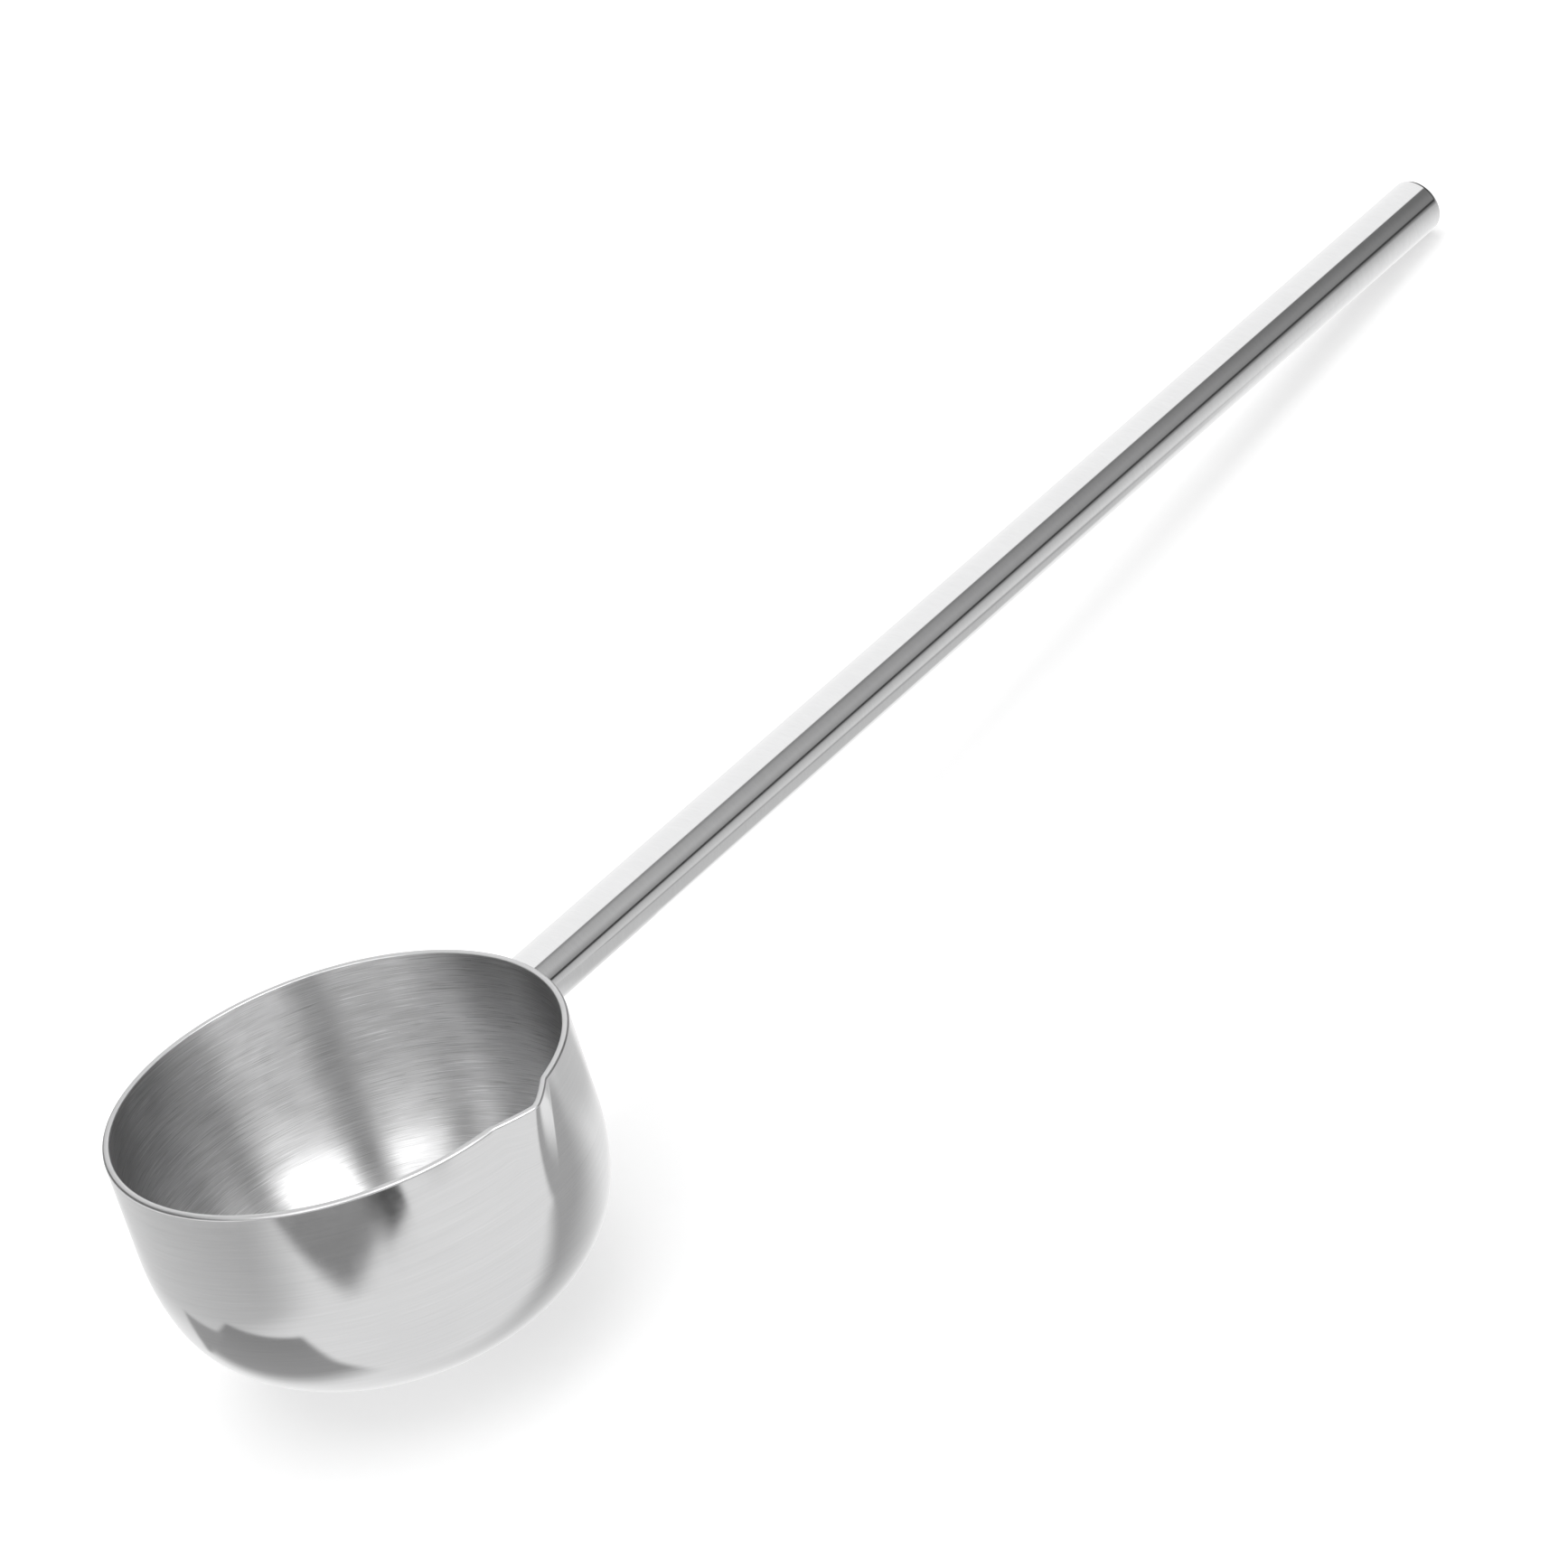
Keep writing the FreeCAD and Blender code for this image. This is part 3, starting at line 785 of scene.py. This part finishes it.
@dataclass
class Handle(Piece):
    """The tubular handle, the plug that closes it and the two welds. Millimetres."""

    rim_radius: float = BowlShell.rim_radius
    tube_radius: float = 6.35
    tube_wall: float = 1.0
    drop: float = 13.4
    reach: float = 382.5
    neck_bead: float = 1.6
    weld_depth: float = 0.4
    cap_thickness: float = 2.6
    cap_edge_radius: float = 1.3
    plug_length: float = 6.0
    plug_clearance: float = 0.05
    fitted_length: float = 1.5
    fading_length: float = 3.0
    steps_round: int = 160
    tube_steps: int = 110
    bore_steps: int = 40
    rounding_steps: int = 12
    tube_hold: float = 0.3
    cap_hold: float = 0.12
    seam_hold: float = 0.05
    bead_hollow_share: float = 1.8
    bead_sharp_angle: float = 50.0
    ripples: int = 46
    ripple_height: float = 0.05
    ripple_drift: float = 1.6
    ripple_drifts: int = 3
    ripple_margin: float = 0.02
    ripple_rise_share: float = 0.25

    @property
    def seat(self) -> float:
        """Gives the place where the plug's head meets the tube."""
        return self.reach - self.cap_thickness

    @property
    def bare_radius(self) -> float:
        """Gives the tube's radius at the foot of a weld's groove."""
        return self.tube_radius - self.weld_depth

    @property
    def groove(self) -> float:
        """Gives the length of a weld groove's slanted side."""
        return self.weld_depth * math.sqrt(2.0)

    def pen_at(self, x: float, radius: float, heading: float) -> SectionPen:
        """Sets a pen down at a place along the handle and a distance from its axis."""
        return SectionPen(x, radius - self.drop, heading)

    def turned(self, pen: SectionPen) -> bmesh.types.BMesh:
        """Turns a section about the handle's axis."""
        return pen.turn_round(Axis.HANDLE, [(360.0, self.steps_round)], -self.drop)

    def finish_part(
        self,
        name: str,
        bm: bmesh.types.BMesh,
        finish: SteelFinish,
        node: str,
        slot: str,
        sharp_angle: float = SHARP_ANGLE,
    ) -> bpy.types.Object:
        """Finishes a piece that is turned about the handle's axis."""
        return self.finish_piece(name, bm, Axis.HANDLE, -self.drop, [finish], node, slot, sharp_angle)

    def fit_to_bowl(self, bm: bmesh.types.BMesh, fitted: float, fading: float) -> None:
        """Shifts what lies near the bowl along the handle, so that it meets the round wall.

        Args:
            bm: the skin.
            fitted: how far from the wall's front the whole shift goes, in millimetres.
            fading: how much further it fades out.
        """
        for vert in bm.verts:
            away = vert.co.x / MM - self.rim_radius
            share = 1.0 if away < fitted else max(0.0, 1.0 - (away - fitted) / fading)
            recess = self.rim_radius - math.sqrt(self.rim_radius**2 - (vert.co.y / MM) ** 2)
            vert.co.x -= recess * share * MM

    def build_tube(self) -> bpy.types.Object:
        """Turns the tube, with a weld's groove at each end."""
        near = self.rim_radius
        root = near + self.neck_bead
        inner = self.tube_radius - self.tube_wall
        pen = self.pen_at(near, self.bare_radius, heading=0.0)
        pen.straight(root - self.weld_depth - near, steps=2)
        pen.aim(45.0).straight(self.groove)
        pen.aim(0.0).straight(self.seat - self.weld_depth - root, self.tube_steps, self.tube_hold)
        pen.aim(-45.0).straight(self.groove)
        pen.aim(-90.0).straight(self.bare_radius - inner)
        pen.aim(180.0).straight(self.seat - near, self.bore_steps)
        bm = self.turned(pen.close())
        self.fit_to_bowl(bm, self.fitted_length, self.fading_length)
        return self.finish_part("handle_tube_polished", bm, MIRROR_HANDLE, "handle_tube", "handle_steel")

    def build_cap(self) -> bpy.types.Object:
        """Turns the plug: a head with a rounded edge and a spigot inside the tube."""
        spigot = self.tube_radius - self.tube_wall - self.plug_clearance
        rim = self.cap_thickness - self.weld_depth - self.cap_edge_radius
        pen = self.pen_at(self.seat - self.plug_length, 0.0, heading=90.0)
        pen.straight(spigot, steps=3)
        pen.aim(0.0).straight(self.plug_length, steps=4)
        pen.aim(90.0).straight(self.bare_radius - spigot)
        pen.aim(45.0).straight(self.groove)
        pen.aim(0.0).straight(rim, hold=self.cap_hold)
        pen.bend(self.cap_edge_radius, -90.0, self.rounding_steps)
        pen.straight(self.tube_radius - self.cap_edge_radius, steps=6, hold=self.cap_hold)
        bm = self.turned(pen)
        return self.finish_part("handle_end_plug", bm, MIRROR_HANDLE, "end_cap", "handle_steel")

    def build_cap_weld(self) -> bpy.types.Object:
        """Turns the seam weld, ground flush with the tube."""
        pen = self.pen_at(self.seat, self.bare_radius, heading=45.0)
        pen.straight(self.groove)
        pen.aim(180.0).straight(2 * self.weld_depth, hold=self.seam_hold)
        bm = self.turned(pen.close())
        return self.finish_part("plug_seam_weld", bm, MIRROR_HANDLE, "cap_weld", "weld_steel")

    def build_neck_weld(self) -> bpy.types.Object:
        """Turns the hollow bead round the tube's root, with the ripples of its pool."""
        leg = self.neck_bead
        hollow = self.bead_hollow_share * leg
        half_turn = math.degrees(math.asin(leg / math.sqrt(2.0) / hollow))
        pen = self.pen_at(self.rim_radius, self.bare_radius, heading=0.0)
        pen.straight(leg - self.weld_depth)
        pen.aim(45.0).straight(self.groove)
        pen.aim(135.0 + half_turn).bend(hollow, -2 * half_turn, self.rounding_steps)
        bm = self.turned(pen.close())
        self.ripple(bm)
        self.fit_to_bowl(bm, 2 * leg, leg)
        return self.finish_part(
            "neck_weld_bead", bm, GROUND_WELD, "neck_weld", "weld_steel", self.bead_sharp_angle
        )

    def ripple(self, bm: bmesh.types.BMesh) -> None:
        """Raises the low ripples that a welder's hand leaves round the bead."""
        for vert in bm.verts:
            spoke = Vector((0.0, vert.co.y, vert.co.z + self.drop * MM))
            out = spoke.length / MM - self.tube_radius
            along = vert.co.x / MM - self.rim_radius
            near_edge = min(out, along)
            if near_edge > self.ripple_margin:
                angle = math.atan2(spoke.z, spoke.y)
                drift = self.ripple_drift * math.sin(self.ripple_drifts * angle)
                wave = math.sin(self.ripples * angle + drift)
                rise = min(1.0, near_edge / (self.ripple_rise_share * self.neck_bead))
                slanted = spoke.normalized() + Vector(ALONG)
                vert.co += slanted.normalized() * self.ripple_height * wave * rise * MM

    def build(self) -> list[bpy.types.Object]:
        """Builds the tube, its plug and the two welds."""
        return [self.build_tube(), self.build_cap(), self.build_cap_weld(), self.build_neck_weld()]


@dataclass(frozen=True)
class PictureCamera:
    """The camera, in the bowl's frame. Millimetres and degrees, and metres for what it can see."""

    place: tuple[float, float, float] = (-940.494, -1118.965, 770.311)
    heading: float = 45.9961
    pitch: float = -26.8639
    roll: float = -17.8153
    focal_share: float = 9383.0 / PICTURE_SIDE
    sensor: float = 36.0
    nearest: float = 0.05
    farthest: float = 50.0

    def set_up(self, bowl_frame: BowlFrame) -> bpy.types.Object:
        """Makes the scene's camera.

        Args:
            bowl_frame: where the bowl's frame lies.

        Returns:
            The camera's object.
        """
        data = bpy.data.cameras.new("picture_camera")
        data.sensor_width = self.sensor
        data.lens = self.focal_share * self.sensor
        data.clip_start = self.nearest
        data.clip_end = self.farthest
        camera = bpy.data.objects.new("picture_camera", data)
        bpy.context.scene.collection.objects.link(camera)
        level = Matrix.Rotation(math.radians(self.heading - 90.0), 4, "Z")
        tilt = Matrix.Rotation(math.radians(90.0 + self.pitch), 4, "X")
        lean = Matrix.Rotation(math.radians(self.roll), 4, "Z")
        placed = Matrix.Translation(Vector(self.place) * MM) @ level @ tilt @ lean
        camera.matrix_world = bowl_frame.matrix @ placed
        bpy.context.scene.camera = camera
        return camera


@dataclass(frozen=True)
class Edge:
    """A straight edge of a patch: how its brightness sets in along one direction."""

    toward: tuple[float, float, float]
    start: float
    end: float


@dataclass(frozen=True)
class Patch:
    """A patch of brightness that the steel reflects, between straight soft edges: part of the room's
    light, or painted light and shade on the board.

    Its brightness is level plus slope times the place, held between low and high.
    """

    name: str
    level: float
    edges: tuple[Edge, ...] = ()
    slope: tuple[float, float, float] = (0.0, 0.0, 0.0)
    low: float = 0.05
    high: float = 1.12
    strength: float = 1.0

    def lay_over(
        self, graph: NodeGraph, place: bpy.types.NodeSocket, below: Optional[bpy.types.NodeSocket]
    ) -> bpy.types.NodeSocket:
        """Lays the patch over what is already there.

        Args:
            graph: the nodes that it goes in.
            place: a direction in the room, or a point on the board.
            below: the brightness so far.

        Returns:
            The brightness with the patch.
        """
        own = graph.dot(place, self.slope)
        own = graph.calc("ADD", own, self.level)
        laid = graph.calc("MINIMUM", graph.calc("MAXIMUM", own, self.low), self.high)
        if below is not None:
            share = self.strength
            for edge in self.edges:
                within = graph.ease(graph.dot(place, edge.toward), edge.start, edge.end)
                share = graph.calc("MULTIPLY", within, share)
            laid = graph.calc("MULTIPLY_ADD", graph.calc("SUBTRACT", laid, below), share, below)
        laid.node.label = self.name
        return laid


def patched_light(
    graph: NodeGraph, place: bpy.types.NodeSocket, patches: tuple[Patch, ...]
) -> bpy.types.NodeSocket:
    """Lays patches over each other, in their order.

    Args:
        graph: the nodes that they go in.
        place: a direction in the room, or a point on the board.
        patches: the patches, the lowest one first.

    Returns:
        The brightness that they make.
    """
    brightness = None
    for patch in patches:
        brightness = patch.lay_over(graph, place, brightness)
    return brightness


def bearing(degrees: float) -> tuple[float, float, float]:
    """Gives the level direction at an angle from the handle's direction."""
    angle = math.radians(degrees)
    return (math.cos(angle), math.sin(angle), 0.0)


NEAR_BOARD_FACE = (0.771, 0.210, 0.601)
SOFT_BOX_FACE = (0.0, -0.927, -0.375)
TABLE_END_FACE = (-0.8, 0.0, 1.0)


ROOM = (
    Patch("white table", 0.42, slope=(0.0, 0.0, -0.8), high=1.07),
    Patch("near board", 0.68, edges=(Edge(NEAR_BOARD_FACE, -0.035, -0.055),)),
    Patch(
        "edge of the near board",
        0.50,
        edges=(
            Edge(NEAR_BOARD_FACE, -0.070, -0.055),
            Edge(NEAR_BOARD_FACE, -0.020, -0.040),
            Edge(ASIDE, -0.25, -0.42),
        ),
    ),
    Patch("white sweep behind", 1.12, edges=(Edge(ASIDE, 0.02, 0.40),)),
    Patch(
        "shade at the table's end",
        0.22,
        edges=(Edge(UP, -0.24, -0.06), Edge(ASIDE, 0.0, -0.3)),
    ),
    Patch(
        "grey wall",
        2.89,
        edges=(Edge(UP, -0.05, -0.01), Edge(ASIDE, 0.0, -0.1)),
        slope=(-3.6, 0.0, 0.0),
        low=0.20,
        high=0.62,
    ),
    Patch(
        "foot of the wall",
        0.16,
        edges=(Edge(UP, 0.35, -0.05), Edge(UP, -0.08, -0.04), Edge(ASIDE, 0.0, -0.3)),
        strength=0.55,
    ),
    Patch(
        "gap behind the table",
        0.06,
        edges=(
            Edge(TABLE_END_FACE, -0.630, -0.585),
            Edge(TABLE_END_FACE, -0.490, -0.535),
            Edge(ASIDE, -0.3, -0.5),
            Edge(ALONG, 0.40, 0.52),
        ),
    ),
    Patch(
        "shade under the soft box",
        0.20,
        edges=(Edge(SOFT_BOX_FACE, 0.22, 0.0), Edge(UP, 0.2, 0.4)),
        strength=0.6,
    ),
    Patch(
        "soft box",
        1.2,
        edges=(Edge(SOFT_BOX_FACE, 0.03, -0.03), Edge(UP, -0.05, 0.05)),
        high=1.2,
    ),
    Patch(
        "dark end of the room",
        0.10,
        edges=(
            Edge(ASIDE, -0.05, 0.10),
            Edge(ALONG, 0.58, 0.42),
            Edge(UP, -0.05, 0.05),
            Edge(UP, 0.85, 0.65),
        ),
    ),
    Patch(
        "dark end beyond the handle",
        0.08,
        edges=(Edge(ALONG, 0.775, 0.84), Edge(UP, -0.05, 0.02)),
    ),
    Patch(
        "lamps beside the camera",
        3.4,
        high=3.4,
        edges=(Edge(bearing(-105.0), 0.05, 0.30), Edge(bearing(-150.0), 0.0, 0.40), Edge(UP, -0.05, 0.75)),
    ),
    Patch(
        "lamp at the side",
        5.4,
        high=5.4,
        edges=(
            Edge(bearing(8.0), -0.26, -0.12),
            Edge(bearing(8.0), 0.20, 0.08),
            Edge(bearing(-82.0), 0.0, 0.2),
            Edge(UP, -0.05, 0.75),
        ),
    ),
    Patch(
        "camera stand",
        0.20,
        edges=(
            Edge(bearing(-40.0), -0.25, -0.05),
            Edge(bearing(-40.0), 0.25, 0.05),
            Edge(bearing(-130.0), 0.0, 0.2),
            Edge(UP, -0.05, 0.10),
        ),
    ),
)

# Painted reflections: the board's patches are painted light and shade that only the steel sees. A white
# ground carries dark and grey patches that stand in for reflected shade and for dark things near the bowl.
PAINTED_REFLECTIONS = (
    Patch("painted white board reflection", 0.98),
    Patch(
        "painted grey side reflection",
        0.83,
        edges=(Edge(ASIDE, -0.060, 0.030), Edge(bearing(135.0), 0.055, 0.100)),
        slope=(1.6, 0.0, 0.0),
    ),
    Patch(
        "painted dark card reflection",
        0.55,
        edges=(
            Edge(ALONG, -0.092, -0.087),
            Edge(ALONG, -0.040, -0.056),
            Edge(ASIDE, 0.047, 0.042),
            Edge(bearing(71.9), -0.038, -0.033),
        ),
        slope=(2.6, 0.0, 0.0),
    ),
    Patch(
        "painted dark corner reflection",
        0.40,
        edges=(
            Edge(ASIDE, 0.038, 0.042),
            Edge(bearing(-26.6), -0.088, -0.083),
            Edge(bearing(-151.8), 0.018, 0.023),
        ),
    ),
    Patch(
        "painted dark screen reflection",
        0.31,
        edges=(
            Edge(bearing(-125.4), 0.116, 0.130),
            Edge(bearing(-165.4), 0.127, 0.144),
            Edge(bearing(-50.4), 0.105, 0.058),
        ),
    ),
    Patch(
        "painted grey screen reflection",
        0.60,
        edges=(Edge(bearing(-109.9), 0.148, 0.160), Edge(bearing(-50.4), 0.070, 0.110)),
    ),
    # Painted reflection: a near-black patch that the bowl's front shows in place of the reflected camera
    # lens.
    Patch(
        "lens",
        0.08,
        edges=(
            Edge(bearing(-140.4), 0.144, 0.152),
            Edge(bearing(-50.4), 0.000, 0.036),
            Edge(bearing(-50.4), 0.058, 0.050),
        ),
    ),
    Patch(
        "painted grey strip reflection",
        0.45,
        edges=(
            Edge(bearing(78.7), -0.020, -0.058),
            Edge(bearing(78.7), -0.084, -0.072),
            Edge(bearing(45.7), -0.046, -0.032),
            Edge(ALONG, 0.105, 0.080),
        ),
        slope=(0.8, 0.0, 0.0),
    ),
    Patch(
        "painted table reflection beside the handle",
        0.70,
        edges=(Edge(ALONG, 0.068, 0.088), Edge(ASIDE, -0.072, -0.058), Edge(ASIDE, 0.012, -0.010)),
    ),
)


@dataclass(frozen=True)
class Studio:
    """A pale floor, one large soft box overhead, the soft light of the room and a board painted with
    reflections. Metres.
    """

    floor_size: float = 12.0
    floor_squares: int = 8
    floor_colour: float = 0.82
    floor_roughness: float = 0.9
    glow_range: tuple[float, float] = (0.1, 1.6)
    glow_levels: tuple[float, float] = (0.35, 1.0)
    box_height: float = 1.5
    box_front: float = -0.14
    box_depth: float = 1.7
    box_left: float = -1.2
    box_right: float = 2.4
    box_radiance: float = 0.9
    fill_radiance: float = 0.75
    board_radius: float = 0.150
    board_shift: tuple[float, float] = (-0.041, -0.011)
    board_height: float = 0.0003
    board_sides: int = 96

    def set_up(self, bowl_frame: BowlFrame) -> None:
        """Makes the floor, the board with painted reflections, the soft box and the room's light."""
        bpy.context.scene.view_settings.view_transform = "Standard"
        self.make_floor()
        self.make_board(bowl_frame.matrix.translation)
        self.make_soft_box()
        self.make_room_light()

    def stand(self, name: str, bm: bmesh.types.BMesh, material: bpy.types.Material) -> bpy.types.Object:
        """Makes a thing of the studio from its skin and marks it as no part of the ladle."""
        mesh = bpy.data.meshes.new(name)
        bm.to_mesh(mesh)
        bm.free()
        mesh.materials.append(material)
        thing = bpy.data.objects.new(name, mesh)
        bpy.context.scene.collection.objects.link(thing)
        return thing

    def make_floor(self) -> None:
        """Makes the floor, which glows white for the camera far from the ladle."""
        bm = bmesh.new()
        squares = self.floor_squares
        bmesh.ops.create_grid(bm, x_segments=squares, y_segments=squares, size=self.floor_size / 2)
        material = bpy.data.materials.new("pale_floor")
        material.use_nodes = True
        graph = NodeGraph(material.node_tree)
        shader = graph.find("BSDF_PRINCIPLED")
        colour = self.floor_colour
        shader.inputs["Base Color"].default_value = (colour, colour, colour, 1.0)
        shader.inputs["Roughness"].default_value = self.floor_roughness
        shader.inputs["Specular IOR Level"].default_value = 0.0
        shader.inputs["Emission Color"].default_value = (1.0, 1.0, 1.0, 1.0)
        place = graph.add("ShaderNodeTexCoord").outputs["Object"]
        length = graph.add("ShaderNodeVectorMath")
        length.operation = "LENGTH"
        graph.link(place, length.inputs[0])
        far = graph.span(length.outputs["Value"], *self.glow_range, *self.glow_levels, smooth=True)
        seen = graph.add("ShaderNodeLightPath").outputs["Is Camera Ray"]
        graph.link(graph.calc("MULTIPLY", far, seen), shader.inputs["Emission Strength"])
        floor = self.stand("floor", bm, material)
        floor.visible_glossy = False

    def make_board(self, centre: Vector) -> None:
        """Lays a glowing board round the bowl, painted with reflections that only the steel sees.

        Args:
            centre: the middle of the bowl's rim.
        """
        bm = bmesh.new()
        sides, radius = self.board_sides, self.board_radius
        bmesh.ops.create_circle(bm, cap_ends=True, segments=sides, radius=radius)
        bmesh.ops.translate(bm, verts=bm.verts, vec=Vector((*self.board_shift, 0.0)))
        material = bpy.data.materials.new("painted_reflection_board")
        material.use_nodes = True
        graph = NodeGraph(material.node_tree)
        graph.tree.nodes.remove(graph.find("BSDF_PRINCIPLED"))
        glow = graph.add("ShaderNodeEmission")
        graph.link(glow.outputs["Emission"], graph.find("OUTPUT_MATERIAL").inputs["Surface"])
        place = graph.add("ShaderNodeTexCoord").outputs["Object"]
        # Painted reflection: the board glows with the painted patches, and only the steel sees it.
        graph.link(patched_light(graph, place, PAINTED_REFLECTIONS), glow.inputs["Strength"])
        board = self.stand("painted_reflection_board", bm, material)
        board.location = (centre.x, centre.y, self.board_height)
        board.visible_camera = False
        board.visible_diffuse = False
        board.visible_shadow = False
        board.visible_transmission = False

    def make_soft_box(self) -> None:
        """Hangs the soft box over the ladle, a little behind it."""
        data = bpy.data.lights.new("soft_box", "AREA")
        data.shape = "RECTANGLE"
        data.size = self.box_right - self.box_left
        data.size_y = self.box_depth
        data.energy = self.box_radiance * math.pi * data.size * data.size_y
        box = bpy.data.objects.new("soft_box", data)
        box.location = (
            (self.box_left + self.box_right) / 2,
            self.box_front + self.box_depth / 2,
            self.box_height,
        )
        bpy.context.scene.collection.objects.link(box)
        box.visible_camera = False
        box.visible_glossy = False

    def make_room_light(self) -> None:
        """Lights the world: what the steel reflects, an even fill elsewhere, and white to the camera."""
        world = bpy.data.worlds.new("studio_room")
        bpy.context.scene.world = world
        world.use_nodes = True
        graph = NodeGraph(world.node_tree)
        background = graph.find("BACKGROUND")
        background.inputs["Color"].default_value = (1.0, 1.0, 1.0, 1.0)
        direction = graph.add("ShaderNodeTexCoord").outputs["Generated"]
        room = patched_light(graph, direction, ROOM)
        path = graph.add("ShaderNodeLightPath")
        plain = graph.span(path.outputs["Is Camera Ray"], 0.0, 1.0, self.fill_radiance, 1.0)
        gap = graph.calc("SUBTRACT", room, plain)
        strength = graph.calc("MULTIPLY_ADD", gap, path.outputs["Is Glossy Ray"], plain)
        graph.link(strength, background.inputs["Strength"])


def main() -> None:
    """Builds the ladle's pieces, the studio and the camera."""
    logging.basicConfig(level=logging.INFO, format="%(name)s %(message)s")
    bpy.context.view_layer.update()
    bowl_frame = BowlFrame.from_record(frame["record"], BowlShell.depth * MM)
    BowlShell(bowl_frame).build()
    Handle(bowl_frame).build()
    Studio().set_up(bowl_frame)
    PictureCamera().set_up(bowl_frame)


if __name__ == "__main__":
    main()
